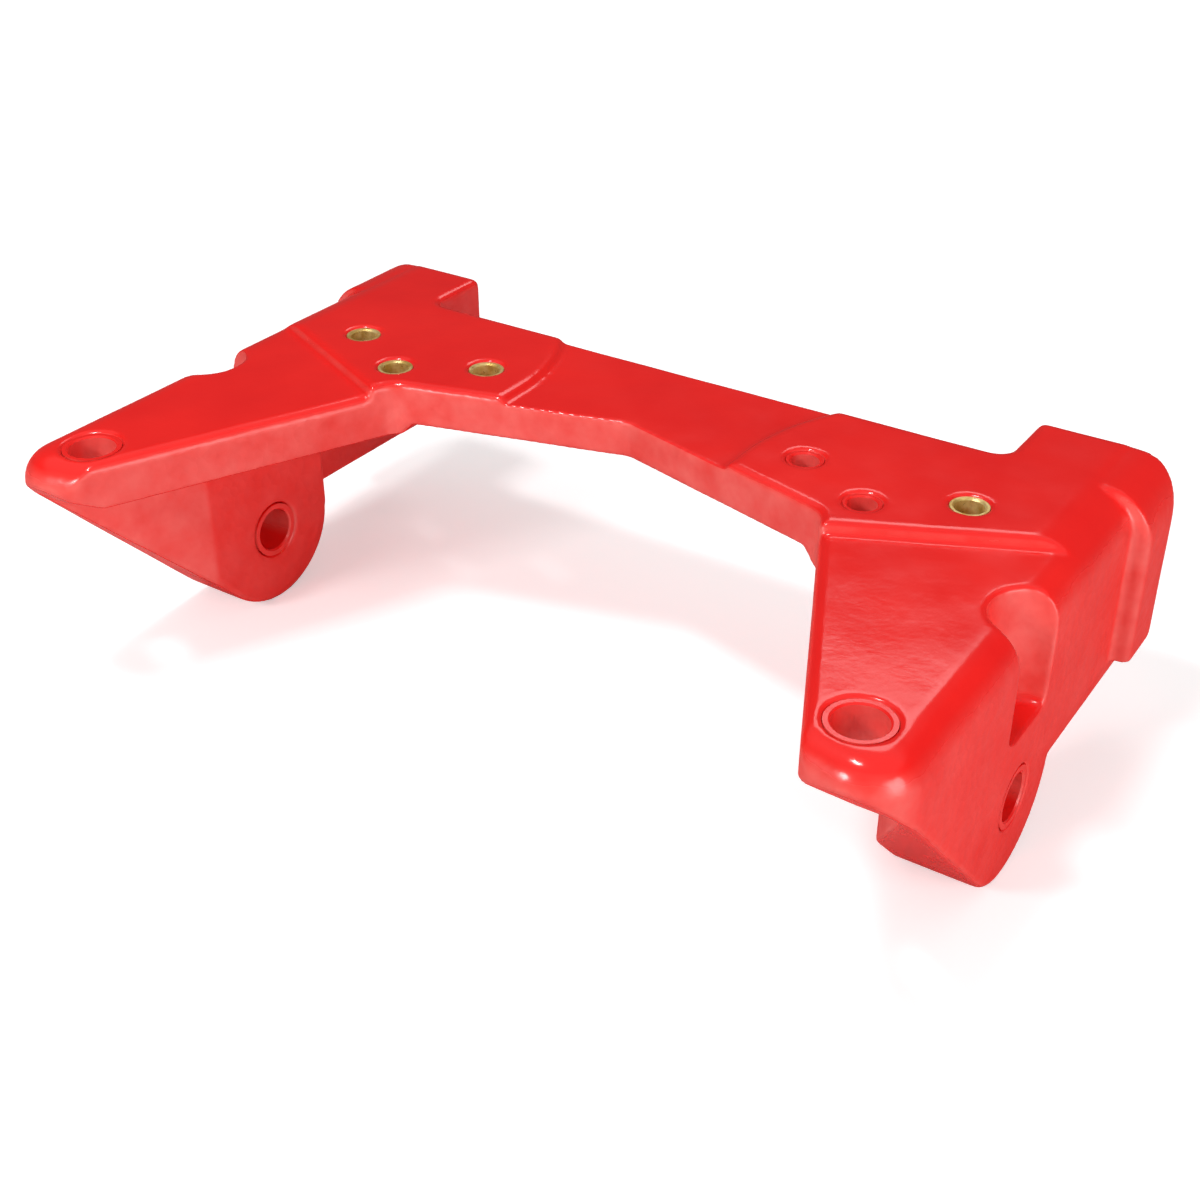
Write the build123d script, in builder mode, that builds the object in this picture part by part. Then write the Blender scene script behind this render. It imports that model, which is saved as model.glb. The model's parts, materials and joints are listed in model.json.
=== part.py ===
from build123d import *
import os
from math import asin, atan2, cos, hypot, radians, sin, sqrt

# A drawbar support for a tractor: one iron casting with a cross beam, two arms and two
# deep cheeks, and the sleeves and bushes that are pressed into its holes.
# X runs along the beam, Y from the arm tips to the back, Z up. The origin is the middle
# of the two outer pad bolts, level with the top of the beam. The right half is drawn
# and mirrored.

# Pad bolts
outer_bolt_x = 170.0
middle_bolt_x = 130.0
middle_bolt_y = -23.0
inner_bolt_x = 90.0
pad_bolt_d = 13.5
pad_sleeve_wall = 2.0
pad_sleeve_recess = 1.2

# Beam between the pads
beam_thickness = 19.0
beam_back_y = 54.0
beam_middle_front_y = -8.0
beam_front_slope = 0.27
beam_end_x = 111.0

# Arms
arm_top = -1.5
arm_thickness = 24.0
arm_root_x = 118.0
arm_splay = 24.8
inside_corner_r = 14.0
nose_inner_y = -188.0
nose_outer_y = -198.0
nose_inner_r = 12.0
nose_outer_r = 22.0
outer_x = 228.0
edge_r = 5.0
arm_shoulder_z = -17.0
root_ramp = 5.0
nose_end_height = 6.3
nose_undercut = 7.0

# Pads and horns, level with each other
pad_top = 3.5
pad_inner_x = 62.0
pad_inner_back_x = 80.0
pad_edge_r = 4.0
pad_shoulder_z = -22.0
riser_y = -51.0
horn_inner_x = 165.0
horn_back_y = 96.0
horn_root_r = 8.0
horn_corner_r = 3.0
horn_outer_r = 9.0

# Cheeks under the outer sides of the arms
cheek_wall = 23.0
cheek_bottom = -92.5
cheek_back_corner_r = 12.0
front_thin_wall = 7.0
front_thin_y = -176.0

# Lugs that carry the link pins
lug_y = -63.0
lug_z = -90.5
lug_r = 41.0
lug_width = 42.0
lug_front_y = -107.0
pin_bore_d = 22.4
pin_bush_wall = 3.3
pin_bush_recess = 0.5
lug_edge_r = 2.5
lug_root_r = 8.0

# Legs behind the lugs
leg_proud = 9.0
leg_front_y = 50.0
leg_bottom = -84.5
leg_top = 2.5
leg_shoulder_z = -23.0
leg_back_corner_r = 18.0
leg_front_corner_r = 4.0

# Half-round pockets in the outer walls, over the lugs
pocket_r = 19.5
pocket_x = 225.0
pocket_y = -60.0
pocket_bottom = -56.0
pocket_floor_r = 6.0

# Tapped sleeves in the arm tips
tip_x = 198.0
tip_y = -163.0
tip_hole_d = 22.0
tip_sleeve_wall = 2.8
tip_sleeve_recess = 1.0

# Small bevel on every bore and sleeve end
bevel = 0.8

# Sizes that follow from the ones above
arm_bottom = arm_top - arm_thickness
arm_root_y = beam_middle_front_y - beam_front_slope * arm_root_x
splay_run = sin(radians(arm_splay)) / cos(radians(arm_splay))
nose_inner_x = arm_root_x + splay_run * (arm_root_y - nose_inner_y)
beam_end_y = beam_middle_front_y - beam_front_slope * beam_end_x
riser_inner_x = arm_root_x + splay_run * (arm_root_y - riser_y)
riser_outer_y = riser_y + splay_run * (outer_x - riser_inner_x)
cheek_inner_x = outer_x - cheek_wall
lug_inner_x = outer_x - lug_width
front_thin_x = outer_x - front_thin_wall
leg_x = outer_x + leg_proud
pad_sleeve_d = pad_bolt_d + 2 * pad_sleeve_wall
pin_bush_d = pin_bore_d + 2 * pin_bush_wall
tip_sleeve_d = tip_hole_d + 2 * tip_sleeve_wall
far = 2 * leg_x

# The slope under each arm leaves the round of the lug and ends at the foot of the nose
slope_run = lug_y - nose_outer_y
slope_rise = arm_top - nose_end_height - lug_z
slope = atan2(slope_rise, slope_run) + asin(lug_r / hypot(slope_rise, slope_run))
slope_foot_y = nose_outer_y + (arm_thickness - nose_end_height) * cos(slope) / sin(slope)

# The end of the nose runs outwards and a little forwards. Its undercut starts in front of
# the tip hole and climbs to its end.
end_slant = (nose_outer_y - nose_inner_y) / (outer_x - nose_inner_x)
end_cos = 1 / hypot(1, end_slant)
undercut_y = tip_y - (tip_sleeve_d / 2 + 2 * bevel) / end_cos
undercut_run = (undercut_y - nose_inner_y - end_slant * (tip_x - nose_inner_x)) * end_cos


def corner(plan, x, y):
    """The corner of a plan that lies at a place."""
    return plan.vertices().sort_by_distance((x, y, 0))[0]


def pad_bolt_places():
    """The pad bolts of the right side: name, x and y."""
    return [
        ("outer", outer_bolt_x, 0.0),
        ("middle", middle_bolt_x, middle_bolt_y),
        ("inner", inner_bolt_x, 0.0),
    ]


def beam_plan():
    """Outline of the right half of the beam, which is widest at its ends."""
    with BuildSketch() as plan:
        with BuildLine():
            Polyline(
                (0, beam_middle_front_y),
                (beam_end_x, beam_end_y),
                (beam_end_x, beam_back_y),
                (0, beam_back_y),
                close=True,
            )
        make_face()
    return plan.sketch


def arm_plan():
    """Outline of an arm plate with its horn."""
    with BuildSketch() as plan:
        with BuildLine():
            Polyline(
                (beam_end_x, beam_end_y),
                (arm_root_x, arm_root_y),
                (nose_inner_x, nose_inner_y),
                (outer_x, nose_outer_y),
                (outer_x, horn_back_y),
                (horn_inner_x, horn_back_y),
                (horn_inner_x, beam_back_y),
                (beam_end_x, beam_back_y),
                close=True,
            )
        make_face()
        fillet(corner(plan, arm_root_x, arm_root_y), inside_corner_r)
        fillet(corner(plan, nose_inner_x, nose_inner_y), nose_inner_r)
        fillet(corner(plan, outer_x, nose_outer_y), nose_outer_r)
        fillet(corner(plan, outer_x, horn_back_y), horn_outer_r)
        fillet(corner(plan, horn_inner_x, horn_back_y), horn_corner_r)
        fillet(corner(plan, horn_inner_x, beam_back_y), horn_root_r)
    return plan.sketch


def pad_plan():
    """Outline of a raised pad: all of the arm and beam end that lies behind the riser."""
    past = leg_proud + edge_r
    far_y = riser_y - past
    with BuildSketch() as plan:
        add(beam_plan())
        add(arm_plan())
        with BuildLine():
            edge = Polyline(
                (pad_inner_x, beam_middle_front_y),
                (pad_inner_x, far_y),
                (riser_inner_x - past / splay_run, far_y),
                (outer_x + past / splay_run, riser_outer_y + past),
                (outer_x + past / splay_run, horn_back_y + past),
                (pad_inner_back_x, horn_back_y + past),
                (pad_inner_back_x, beam_back_y),
            )
            TangentArc(edge @ 0, edge @ 1, tangent=(0, 1))
        make_face(mode=Mode.INTERSECT)
    return plan.sketch


def cheek_side():
    """Side view of a cheek: straight behind, a round lug, and a slope up to the nose."""
    top = arm_bottom + edge_r
    slope_y = lug_y - lug_r * sin(slope)
    slope_z = lug_z - lug_r * cos(slope)
    back_y = lug_y + sqrt(lug_r**2 - (cheek_bottom - lug_z) ** 2)
    rise = (top - slope_z) * cos(slope) / sin(slope)
    with BuildSketch() as side:
        with BuildLine():
            behind = Polyline(
                (slope_y - rise, top),
                (horn_back_y, top),
                (horn_back_y, cheek_bottom),
                (back_y, cheek_bottom),
            )
            round_part = ThreePointArc(behind @ 1, (lug_y, lug_z - lug_r), (slope_y, slope_z))
            Line(round_part @ 1, behind @ 0)
        make_face()
        fillet(corner(side, horn_back_y, cheek_bottom), cheek_back_corner_r)
    return side.sketch


def cheek_cuts_plan():
    """Plan of what is cut from the inside of a cheek, behind the lug and in front of it."""
    with BuildSketch() as plan:
        with BuildLine():
            Polyline(
                (lug_inner_x - edge_r, lug_y + lug_r),
                (cheek_inner_x, lug_y + lug_r),
                (cheek_inner_x, horn_back_y + edge_r),
                (lug_inner_x - edge_r, horn_back_y + edge_r),
                close=True,
            )
        make_face()
        fillet(corner(plan, cheek_inner_x, lug_y + lug_r), lug_root_r)
        with BuildLine():
            Polyline(
                (lug_inner_x - edge_r, lug_front_y),
                (lug_inner_x, lug_front_y),
                (front_thin_x, front_thin_y),
                (front_thin_x, nose_outer_y - edge_r),
                (lug_inner_x - edge_r, nose_outer_y - edge_r),
                close=True,
            )
        make_face()
    return plan.sketch


def undercut_side(run, height):
    """Side view of a cut that climbs forwards from where it starts."""
    with BuildSketch() as side:
        with BuildLine():
            Polyline((0, 0), (2 * run, 2 * height), (2 * run, 0), close=True)
        make_face()
    return side.sketch


def nose_block_plan():
    """Plan that ends with the nose and the outer wall, and goes on past all else."""
    with BuildSketch() as plan:
        with BuildLine():
            Polyline(
                (0, nose_outer_y - end_slant * outer_x),
                (outer_x, nose_outer_y),
                (outer_x, far),
                (0, far),
                close=True,
            )
        make_face()
        fillet(corner(plan, outer_x, nose_outer_y), nose_outer_r)
    return plan.sketch


def shoulder_section(outer, top, foot):
    """Section across the arms whose outer top corner is rounded from a foot to the top."""
    with BuildSketch() as section:
        with BuildLine():
            Polyline((0, top), (outer, top), (outer, -far), (0, -far), close=True)
        make_face()
        fillet(corner(section, outer, top), top - foot)
    return section.sketch


def leg_plan():
    """Outline of the leg that stands proud of the outer wall behind the lug."""
    with BuildSketch() as plan:
        with BuildLine():
            Polyline(
                (cheek_inner_x, leg_front_y),
                (leg_x, leg_front_y),
                (leg_x, horn_back_y),
                (cheek_inner_x, horn_back_y),
                close=True,
            )
        make_face()
        fillet(corner(plan, leg_x, leg_front_y), leg_front_corner_r)
        fillet(corner(plan, leg_x, horn_back_y), leg_back_corner_r)
    return plan.sketch


def round_edges(body):
    """The edges where the round of the lug and the slope before it meet its flat sides."""
    sides = body.faces().filter_by(Axis.X).edges()
    low = sides.filter_by(lambda e: (e @ 0.5).Z < arm_bottom and (e @ 0.5).Y < lug_y + lug_r)
    return low.filter_by(lambda e: abs((e % 0.5).Z) < 0.99 and abs((e % 0.5).Y) < 1 - 1e-6)


def level_edges(body, height):
    """The edges that lie level at a height."""
    return body.edges().filter_by_position(Axis.Z, height - bevel / 2, height + bevel / 2)


def hole_edges(body, diameter):
    """The round rims of the holes of one diameter."""
    rims = body.edges().filter_by(GeomType.CIRCLE)
    return rims.filter_by(lambda e: e.is_closed and abs(2 * e.radius - diameter) < bevel / 10)


def nose_block():
    """A block with a soft shoulder along its front and outer top edges."""
    with BuildPart() as block:
        with BuildSketch(Plane.XY.offset(arm_top)):
            add(nose_block_plan())
        extrude(amount=-far)
        outer_edge = level_edges(block, arm_top).sort_by(Axis.X)[-1]
        fillet(outer_edge, arm_top - arm_shoulder_z)
    return block.part


def leg():
    """The leg behind a lug, with its soft shoulder."""
    with BuildPart() as piece:
        with BuildSketch(Plane.XY.offset(leg_bottom)):
            add(leg_plan())
        extrude(amount=leg_top - leg_bottom)
        with BuildSketch(Plane.XZ):
            add(shoulder_section(leg_x, leg_top, leg_shoulder_z))
        extrude(amount=far, both=True, mode=Mode.INTERSECT)
    return piece.part


def raised_pad():
    """A raised pad with its horn, with the soft shoulder of the outer wall."""
    with BuildPart() as piece:
        with BuildSketch(Plane.XY.offset(-beam_thickness)):
            add(pad_plan())
        extrude(amount=pad_top + beam_thickness)
        fillet(level_edges(piece, pad_top), pad_edge_r)
        with BuildSketch(Plane.XZ):
            add(shoulder_section(outer_x, pad_top, pad_shoulder_z))
        extrude(amount=far, both=True, mode=Mode.INTERSECT)
    return piece.part


def casting():
    """The whole casting, with the holes for its sleeves and bushes."""
    with BuildPart() as body:
        # Cheek, thick at the lug and thinner behind it and towards the nose
        with BuildSketch(Plane.YZ.offset(lug_inner_x)):
            add(cheek_side())
        extrude(amount=lug_width)
        fillet(round_edges(body), lug_edge_r)
        with BuildSketch(Plane.XY.offset(arm_bottom)):
            add(cheek_cuts_plan())
        extrude(amount=lug_z - far, mode=Mode.SUBTRACT)
        # Corners of the cheek, rounded like those of the arm above it
        with BuildSketch(Plane.XY.offset(arm_bottom + edge_r)):
            add(arm_plan())
        extrude(amount=lug_z - far, mode=Mode.INTERSECT)
        # Arm plate, cut by the slope under its nose
        with BuildSketch(Plane.XY.offset(arm_bottom)):
            add(arm_plan())
        extrude(amount=arm_thickness)
        root_face = body.faces().filter_by(Axis.X).sort_by(Axis.X)[0]
        chamfer(root_face.edges().sort_by(Axis.Z)[0], root_ramp)
        foot = (0, slope_foot_y, arm_bottom)
        with BuildSketch(Plane(foot, x_dir=(0, -1, 0), z_dir=(-1, 0, 0))):
            add(undercut_side(arm_thickness * cos(slope) / sin(slope), arm_thickness))
        extrude(amount=far, both=True, mode=Mode.SUBTRACT)
        # Undercut along the end of the nose
        start = (tip_x, undercut_y, arm_bottom)
        with BuildSketch(Plane(start, x_dir=(end_slant, -1, 0), z_dir=(-1, -end_slant, 0))):
            add(undercut_side(undercut_run, nose_undercut))
        extrude(amount=far, both=True, mode=Mode.SUBTRACT)
        # Small round along the inner edge of the arm, and the soft shoulder along its others
        fillet(level_edges(body, arm_top), edge_r)
        add(nose_block(), mode=Mode.INTERSECT)
        add(leg())
        add(raised_pad())
        # Half the beam
        with BuildSketch():
            add(beam_plan())
        extrude(amount=-beam_thickness)
        # Pocket over the lug
        with Locations((pocket_x, pocket_y, pocket_bottom)):
            Cylinder(
                pocket_r,
                pad_top - pocket_bottom,
                align=(Align.CENTER, Align.CENTER, Align.MIN),
                mode=Mode.SUBTRACT,
            )
        floor = level_edges(body, pocket_bottom).filter_by(GeomType.CIRCLE)
        fillet(floor, pocket_floor_r)
        mirror(about=Plane.YZ)
        # Holes for the sleeves and bushes
        for _, x, y in pad_bolt_places():
            with Locations((x, y, pad_top), (-x, y, pad_top)):
                Hole(pad_sleeve_d / 2)
        with Locations((tip_x, tip_y, arm_top), (-tip_x, tip_y, arm_top)):
            Hole(tip_sleeve_d / 2)
        with Locations(Plane.YZ.offset(leg_x)):
            with Locations((lug_y, lug_z)):
                Hole(pin_bush_d / 2)
        for diameter in (pad_sleeve_d, pin_bush_d):
            chamfer(hole_edges(body, diameter), bevel)
    return body


def tube(outer_d, bore_d, length):
    """A plain tube that hangs down from its top face, with both ends of its bore bevelled."""
    with BuildPart() as piece:
        Cylinder(outer_d / 2, length, align=(Align.CENTER, Align.CENTER, Align.MAX))
        Hole(bore_d / 2)
        chamfer(hole_edges(piece, bore_d), bevel)
    return piece.part


def save(piece, name):
    """Writes one piece under its own name."""
    piece.label = name
    export_step(piece, f"parts/{name}.step")


os.makedirs("parts", exist_ok=True)
save(casting().part, "casting")

for side, sign in (("right", 1), ("left", -1)):
    for name, x, y in pad_bolt_places():
        floor = -beam_thickness if x < beam_end_x else arm_bottom
        pad_sleeve = tube(pad_sleeve_d, pad_bolt_d, pad_top - floor - 2 * pad_sleeve_recess)
        place = Pos(sign * x, y, pad_top - pad_sleeve_recess)
        save(place * pad_sleeve, f"pad_sleeve_{name}_{side}")
    tip_sleeve = tube(tip_sleeve_d, tip_hole_d, arm_thickness - 2 * tip_sleeve_recess)
    save(Pos(sign * tip_x, tip_y, arm_top - tip_sleeve_recess) * tip_sleeve, f"tip_sleeve_{side}")
    pin_bush = tube(pin_bush_d, pin_bore_d, lug_width - 2 * pin_bush_recess)
    end_x = outer_x - pin_bush_recess if sign > 0 else -lug_inner_x - pin_bush_recess
    save(Pos(end_x, lug_y, lug_z) * Rot(0, 90, 0) * pin_bush, f"pin_bush_{side}")
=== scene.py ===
import json
import math

import bpy
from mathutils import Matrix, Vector
from mathutils import noise as fractal
from mathutils.bvhtree import BVHTree


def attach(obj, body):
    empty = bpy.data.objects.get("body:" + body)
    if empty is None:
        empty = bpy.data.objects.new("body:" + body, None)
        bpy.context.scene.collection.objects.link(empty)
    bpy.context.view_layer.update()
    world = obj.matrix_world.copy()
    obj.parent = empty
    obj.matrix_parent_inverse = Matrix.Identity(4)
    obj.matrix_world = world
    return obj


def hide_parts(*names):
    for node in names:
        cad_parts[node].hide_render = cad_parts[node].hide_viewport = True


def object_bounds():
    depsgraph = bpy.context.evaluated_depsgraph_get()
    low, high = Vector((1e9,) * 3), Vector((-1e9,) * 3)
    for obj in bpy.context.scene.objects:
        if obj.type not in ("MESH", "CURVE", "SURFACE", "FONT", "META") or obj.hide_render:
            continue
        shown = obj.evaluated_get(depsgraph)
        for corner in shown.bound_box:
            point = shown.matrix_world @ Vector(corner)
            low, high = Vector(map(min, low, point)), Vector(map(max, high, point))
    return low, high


# A red painted iron casting with its sleeves and bushes. All lengths are in metres.

# Camera, at the photograph's viewing angle
CAMERA_AZIMUTH = 33.383
CAMERA_ELEVATION = 31.807
CAMERA_DISTANCE = 0.6766
CAMERA_TARGET = (0.0799, -0.1539, 0.0035)
SENSOR = 36.0
LENS = 51.65

# Cast skin. Planes over FLAT_AREA (square metres) pull back the points that smoothing moved:
# fully within PULL_FULLY, and not at all from PULL_FROM on.
VOXEL = 0.0013
SMOOTH_FACTOR = 0.5
SMOOTH_STEPS = 6
EVEN_STEPS = 3
FLAT_AREA = 0.0002
PULL_FROM = 0.0004
PULL_FULLY = 0.0001
WAVE_DEPTH = 0.0003
WAVE_SIZE = 0.030

# Colours, as Blender's linear values
RED = (0.90, 0.016, 0.012)
RED_DARK = (0.78, 0.009, 0.008)
# Painted sheen: paler, pinker reds standing in for lamplight on upright forward faces, with a
# random mottle
PAINTED_SHEEN_RED = (0.88, 0.130, 0.112)
PAINTED_SHEEN_RED_DARK = (0.82, 0.055, 0.045)
YELLOW = (0.90, 0.70, 0.30)
YELLOW_DARK = (0.60, 0.38, 0.09)
WHITE = (1.0, 1.0, 1.0)

# Paint: noise scales, roughness ranges, and bumps as scale, strength and depth
TONE_SCALE = 14.0
# Scale of the mottle within the painted sheen
PAINTED_SHEEN_MOTTLE_SCALE = 60.0
GLOSS_SCALE = 45.0
PAINT_ROUGHNESS = (0.12, 0.20)
CAST_ROUGHNESS = 0.22
SOFT_WAVES = (55.0, 0.09, 0.0016)
CAST_PITS = (170.0, 0.22, 0.0011)
FINE_GRAIN = (420.0, 0.10, 0.0004)

# Faces: where they count as upright and as facing forwards, and the share there of the
# painted sheen, a paler colour standing in for lamplight on forward faces
UPRIGHT = (0.75, 0.25)
FORWARDS = (-0.1, -0.6)
PAINTED_SHEEN_SHARE = (0.30, 1.0)

# Sleeves
SLEEVE_METALLIC = 0.6
STAIN_SCALE = 180.0
SLEEVE_GLOSS_SCALE = 500.0
SLEEVE_ROUGHNESS = (0.25, 0.45)
RINGS = {"Scale": 900.0, "Distortion": 1.5}
RING_BUMP = (0.25, 0.0002)

# Floor: half its width, its colours (the one seen in the gloss is a painted reflection,
# dimmer and redder, standing in for light bounced off the casting), and how much the camera
# sees it lifted, near and far off
FLOOR_REACH = 6.0
FLOOR_ROUGHNESS = 0.9
FLOOR = (0.90, 0.90, 0.90)
FLOOR_PAINTED_REFLECTION = (0.70, 0.20, 0.19)
FLOOR_LIFT = (0.42, 1.0)
FLOOR_FADE = (0.7, 3.0)

# Studio light: the sky is dim low down and brighter above
SKY = (0.10, 0.52)
SKY_TURN = (0.60, 0.75)

# Lamps: place, size and power
LAMPS = {
    "key": ((-0.45, -1.4, 0.75), (0.3, 0.3), 9.5),
    "top": ((-0.20, -0.50, 1.5), (0.36, 0.16), 9.0),
    "fill": ((1.5, -0.5, 0.4), (0.8, 0.8), 13.0),
    "rear_card": ((-0.58, 1.68, 1.85), (1.0, 0.9), 7.5),
}

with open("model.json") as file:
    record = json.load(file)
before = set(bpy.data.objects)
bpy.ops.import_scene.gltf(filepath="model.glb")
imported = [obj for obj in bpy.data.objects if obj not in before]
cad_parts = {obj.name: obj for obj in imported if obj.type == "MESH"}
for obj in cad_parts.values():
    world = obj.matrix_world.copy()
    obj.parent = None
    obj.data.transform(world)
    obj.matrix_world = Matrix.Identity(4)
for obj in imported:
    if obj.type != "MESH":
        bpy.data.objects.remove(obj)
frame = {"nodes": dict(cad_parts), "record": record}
cad_low, cad_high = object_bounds()
FLOOR_Z = cad_low.z


def new_material(name):
    """A material with an empty node tree but for its shader and output."""
    material = bpy.data.materials.new(name)
    material.use_nodes = True
    tree = material.node_tree
    return material, tree, tree.nodes["Principled BSDF"]


def add_node(tree, kind, **inputs):
    """A node of a kind, with its unlinked inputs set by name."""
    node = tree.nodes.new(kind)
    for key, value in inputs.items():
        node.inputs[key].default_value = value
    return node


def noise(tree, place, scale, detail=3.0):
    """Noise over the object's own coordinates."""
    node = add_node(tree, "ShaderNodeTexNoise", Scale=scale, Detail=detail, Roughness=0.55)
    tree.links.new(place, node.inputs["Vector"])
    return node.outputs["Fac"]


def ramp(tree, value, low, high, low_colour, high_colour):
    """A value turned into a colour between two stops."""
    node = tree.nodes.new("ShaderNodeValToRGB")
    first, last = node.color_ramp.elements
    first.position, last.position = low, high
    first.color, last.color = (*low_colour, 1), (*high_colour, 1)
    tree.links.new(value, node.inputs["Fac"])
    return node.outputs["Color"]


def bump(tree, height, strength, distance, below=None):
    """A bump over an earlier one."""
    node = add_node(tree, "ShaderNodeBump", Strength=strength, Distance=distance)
    tree.links.new(height, node.inputs["Height"])
    if below is not None:
        tree.links.new(below, node.inputs["Normal"])
    return node.outputs["Normal"]


def math_node(tree, operation, first, second=None):
    """One step of maths on one or two values."""
    node = tree.nodes.new("ShaderNodeMath")
    node.operation = operation
    tree.links.new(first, node.inputs[0])
    if second is not None:
        tree.links.new(second, node.inputs[1])
    return node.outputs["Value"]


def map_range(tree, value, source, result=(0.0, 1.0)):
    """A value brought from one range to another, and kept inside it."""
    node = tree.nodes.new("ShaderNodeMapRange")
    node.inputs["From Min"].default_value, node.inputs["From Max"].default_value = source
    node.inputs["To Min"].default_value, node.inputs["To Max"].default_value = result
    tree.links.new(value, node.inputs["Value"])
    return node.outputs["Result"]


def upright_and_sheen_faces(tree, normal):
    """How upright a face is, and how much painted sheen it shows: a paler colour that stands
    in for lamplight on upright forward faces.
    """
    parts = tree.nodes.new("ShaderNodeSeparateXYZ")
    tree.links.new(normal, parts.inputs["Vector"])
    level = math_node(tree, "ABSOLUTE", parts.outputs["Z"])
    side = map_range(tree, level, UPRIGHT)
    front = map_range(tree, parts.outputs["Y"], FORWARDS, PAINTED_SHEEN_SHARE)
    return side, math_node(tree, "MULTIPLY", side, front)


def red_paint():
    """Gloss enamel, smooth on level faces and rougher on the upright ones, which also get a
    painted sheen where they face forwards.
    """
    material, tree, shader = new_material("red_paint")
    coordinates = tree.nodes.new("ShaderNodeTexCoord")
    place = coordinates.outputs["Object"]
    side, painted_sheen_share = upright_and_sheen_faces(tree, coordinates.outputs["Normal"])
    shader.inputs["IOR"].default_value = 1.5
    shader.inputs["Specular IOR Level"].default_value = 0.5
    smooth = ramp(tree, noise(tree, place, TONE_SCALE), 0.25, 0.75, RED_DARK, RED)
    # Painted sheen: a paler red mixed in on upright forward faces, standing in for the lamps'
    # light there
    painted_sheen = noise(tree, place, PAINTED_SHEEN_MOTTLE_SCALE)
    painted_sheen = ramp(tree, painted_sheen, 0.30, 0.70, PAINTED_SHEEN_RED_DARK, PAINTED_SHEEN_RED)
    colour = tree.nodes.new("ShaderNodeMix")
    colour.data_type = "RGBA"
    tree.links.new(painted_sheen_share, colour.inputs["Factor"])
    tree.links.new(smooth, colour.inputs[6])
    tree.links.new(painted_sheen, colour.inputs[7])
    tree.links.new(colour.outputs[2], shader.inputs["Base Color"])
    dull = map_range(tree, noise(tree, place, GLOSS_SCALE), (0.30, 0.70), PAINT_ROUGHNESS)
    rougher = map_range(tree, side, (0.0, 1.0), (0.0, CAST_ROUGHNESS))
    tree.links.new(math_node(tree, "ADD", dull, rougher), shader.inputs["Roughness"])
    scale, *depth = SOFT_WAVES
    surface = bump(tree, noise(tree, place, scale, 2.0), *depth)
    scale, *depth = CAST_PITS
    grain = add_node(tree, "ShaderNodeTexVoronoi", Scale=scale)
    tree.links.new(place, grain.inputs["Vector"])
    pits = math_node(tree, "MULTIPLY", grain.outputs["Distance"], side)
    surface = bump(tree, pits, *depth, surface)
    scale, *depth = FINE_GRAIN
    surface = bump(tree, noise(tree, place, scale, 2.0), *depth, surface)
    tree.links.new(surface, shader.inputs["Normal"])
    return material


def yellow_metal():
    """Turned yellow metal, with fine rings and stains."""
    material, tree, shader = new_material("yellow_sleeve")
    place = tree.nodes.new("ShaderNodeTexCoord").outputs["Object"]
    shader.inputs["Metallic"].default_value = SLEEVE_METALLIC
    colour = ramp(tree, noise(tree, place, STAIN_SCALE), 0.35, 0.65, YELLOW_DARK, YELLOW)
    tree.links.new(colour, shader.inputs["Base Color"])
    gloss = noise(tree, place, SLEEVE_GLOSS_SCALE)
    gloss = map_range(tree, gloss, (0.30, 0.70), SLEEVE_ROUGHNESS)
    tree.links.new(gloss, shader.inputs["Roughness"])
    rings = add_node(tree, "ShaderNodeTexWave", **RINGS)
    rings.bands_direction = "Z"
    tree.links.new(place, rings.inputs["Vector"])
    tree.links.new(bump(tree, rings.outputs["Fac"], *RING_BUMP), shader.inputs["Normal"])
    return material


def set_material(piece, material):
    """Gives a piece one material in place of what it has."""
    piece.data.materials.clear()
    piece.data.materials.append(material)


def flat_polygons(mesh):
    """Which polygons belong to a plane of some size."""
    planes = []
    areas = {}
    for face in mesh.polygons:
        offset = face.normal.dot(face.center)
        plane = (*(round(value, 3) for value in face.normal), round(offset, 5))
        planes.append(plane)
        areas[plane] = areas.get(plane, 0.0) + face.area
    return [areas[plane] > FLAT_AREA for plane in planes]


def true_flats(made, exact):
    """Brings the points near large planes back onto them, then adds slight waves inwards."""
    flat = flat_polygons(exact)
    faces = [tuple(face.vertices) for face in exact.polygons]
    tree = BVHTree.FromPolygons([point.co.copy() for point in exact.vertices], faces)
    places = []
    for point in made.vertices:
        place, inwards = point.co.copy(), -point.normal.copy()
        spot, _, index, distance = tree.find_nearest(place)
        if flat[index] and distance < PULL_FROM:
            pull = min(1.0, (PULL_FROM - distance) / (PULL_FROM - PULL_FULLY))
            place = place.lerp(spot, pull)
        wave = 0.5 + 0.5 * fractal.noise(place / WAVE_SIZE)
        places.extend(place + inwards * WAVE_DEPTH * wave)
    made.vertices.foreach_set("co", places)
    made.update()


def apply_modifiers(piece):
    """Turns a piece's modifiers into its mesh."""
    graph = bpy.context.evaluated_depsgraph_get()
    made = bpy.data.meshes.new_from_object(piece.evaluated_get(graph))
    piece.modifiers.clear()
    piece.data = made


def smooth_points(piece, name, steps):
    """A modifier that smooths a piece's points."""
    modifier = piece.modifiers.new(name, "SMOOTH")
    modifier.factor = SMOOTH_FACTOR
    modifier.iterations = steps


def cast_skin(source, material):
    """The casting with the soft edges and slight waves of a sand casting."""
    mesh = source.data.copy()
    mesh.name = "casting_skin"
    skin = bpy.data.objects.new("casting_skin", mesh)
    bpy.context.scene.collection.objects.link(skin)
    remesh = skin.modifiers.new("voxels", "REMESH")
    remesh.mode = "VOXEL"
    remesh.voxel_size = VOXEL
    remesh.use_smooth_shade = True
    smooth_points(skin, "soft_edges", SMOOTH_STEPS)
    apply_modifiers(skin)
    true_flats(skin.data, source.data)
    smooth_points(skin, "even_edges", EVEN_STEPS)
    apply_modifiers(skin)
    for face in skin.data.polygons:
        face.use_smooth = True
    set_material(skin, material)
    return skin


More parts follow.
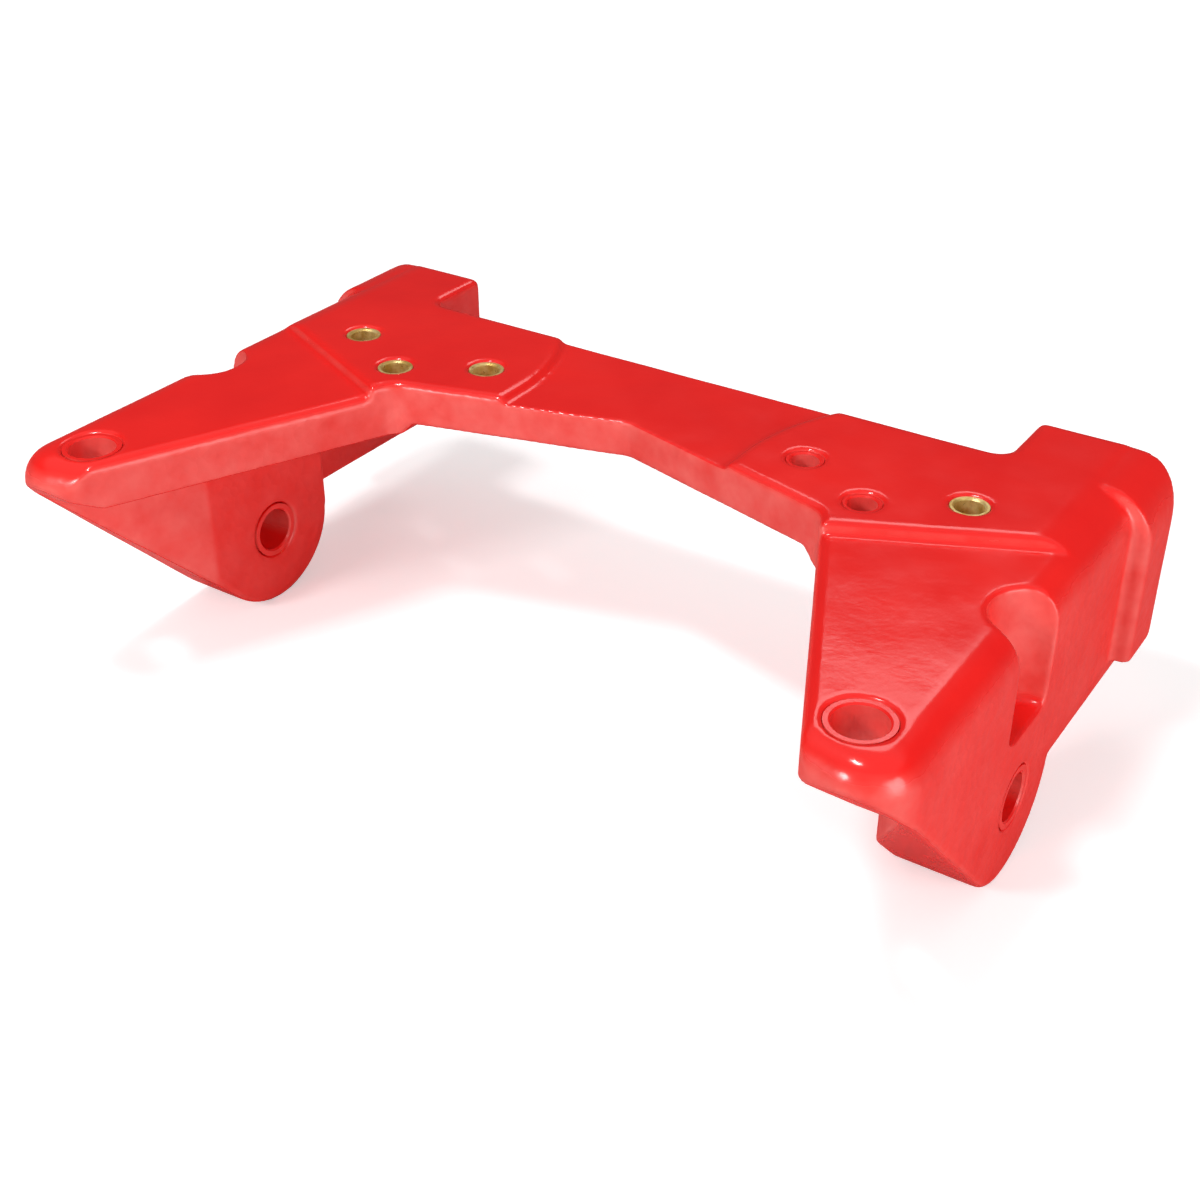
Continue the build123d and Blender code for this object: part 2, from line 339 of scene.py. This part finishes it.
def make_lamp(name, place, size, power):
    """A soft rectangular lamp that looks at the object."""
    lamp = bpy.data.lights.new(name, "AREA")
    lamp.shape = "RECTANGLE"
    lamp.size, lamp.size_y = size
    lamp.energy = power
    holder = bpy.data.objects.new(name, lamp)
    bpy.context.scene.collection.objects.link(holder)
    holder.location = place
    holder.rotation_euler = (-Vector(place)).to_track_quat("-Z", "Y").to_euler()


def make_floor():
    """A pale floor, lifted to white for the camera; in the gloss it shows a painted
    reflection, dimmer and redder, standing in for light bounced off the casting.
    """
    mesh = bpy.data.meshes.new("floor")
    corners = [(-1, -1), (1, -1), (1, 1), (-1, 1)]
    points = [(FLOOR_REACH * x, FLOOR_REACH * y, FLOOR_Z) for x, y in corners]
    mesh.from_pydata(points, [], [(0, 1, 2, 3)])
    floor = bpy.data.objects.new("floor", mesh)
    bpy.context.scene.collection.objects.link(floor)
    material, tree, shader = new_material("floor")
    shader.inputs["Roughness"].default_value = FLOOR_ROUGHNESS
    shader.inputs["Specular IOR Level"].default_value = 0.0
    shader.inputs["Emission Color"].default_value = (*WHITE, 1)
    path = tree.nodes.new("ShaderNodeLightPath")
    away = tree.nodes.new("ShaderNodeVectorMath")
    away.operation = "LENGTH"
    place = tree.nodes.new("ShaderNodeTexCoord").outputs["Object"]
    tree.links.new(place, away.inputs[0])
    lift = map_range(tree, away.outputs["Value"], FLOOR_FADE, FLOOR_LIFT)
    seen = math_node(tree, "MULTIPLY", lift, path.outputs["Is Camera Ray"])
    tree.links.new(seen, shader.inputs["Emission Strength"])
    # Painted reflection: in the gloss the floor turns dimmer and redder, standing in for
    # light bounced off the red casting
    colour = ramp(tree, path.outputs["Is Glossy Ray"], 0.0, 1.0, FLOOR, FLOOR_PAINTED_REFLECTION)
    tree.links.new(colour, shader.inputs["Base Color"])
    set_material(floor, material)


def make_world():
    """White to the camera; to the object a sky that grows brighter upwards."""
    world = bpy.data.worlds.new("studio")
    bpy.context.scene.world = world
    world.use_nodes = True
    tree = world.node_tree
    background = tree.nodes["Background"]
    background.inputs["Color"].default_value = (*WHITE, 1)
    place = tree.nodes.new("ShaderNodeTexCoord").outputs["Generated"]
    parts = tree.nodes.new("ShaderNodeSeparateXYZ")
    tree.links.new(place, parts.inputs["Vector"])
    sky = map_range(tree, parts.outputs["Z"], SKY_TURN, SKY)
    path = tree.nodes.new("ShaderNodeLightPath")
    strength = math_node(tree, "MAXIMUM", sky, path.outputs["Is Camera Ray"])
    tree.links.new(strength, background.inputs["Strength"])


def make_camera():
    """The camera, where the photograph was taken from."""
    azimuth, elevation = math.radians(CAMERA_AZIMUTH), math.radians(CAMERA_ELEVATION)
    back = Vector(
        (
            math.sin(azimuth) * math.cos(elevation),
            -math.cos(azimuth) * math.cos(elevation),
            math.sin(elevation),
        )
    )
    lens = bpy.data.cameras.new("camera")
    lens.sensor_width = SENSOR
    lens.lens = LENS
    camera = bpy.data.objects.new("camera", lens)
    bpy.context.scene.collection.objects.link(camera)
    camera.location = Vector(CAMERA_TARGET) + back * CAMERA_DISTANCE
    camera.rotation_euler = (-back).to_track_quat("-Z", "Y").to_euler()
    bpy.context.scene.camera = camera


paint = red_paint()
metal = yellow_metal()
materials = {"red_paint": paint, "yellow_sleeve": metal}
for part in frame["record"]["subparts"]:
    set_material(frame["nodes"][part["node"]], materials[part["material_slot"]])

skin = cast_skin(frame["nodes"]["casting"], paint)
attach(skin, "root")
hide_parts("casting")

make_floor()
make_world()
make_camera()
for name, (place, size, power) in LAMPS.items():
    make_lamp(name, place, size, power)
bpy.context.scene.view_settings.view_transform = "Standard"
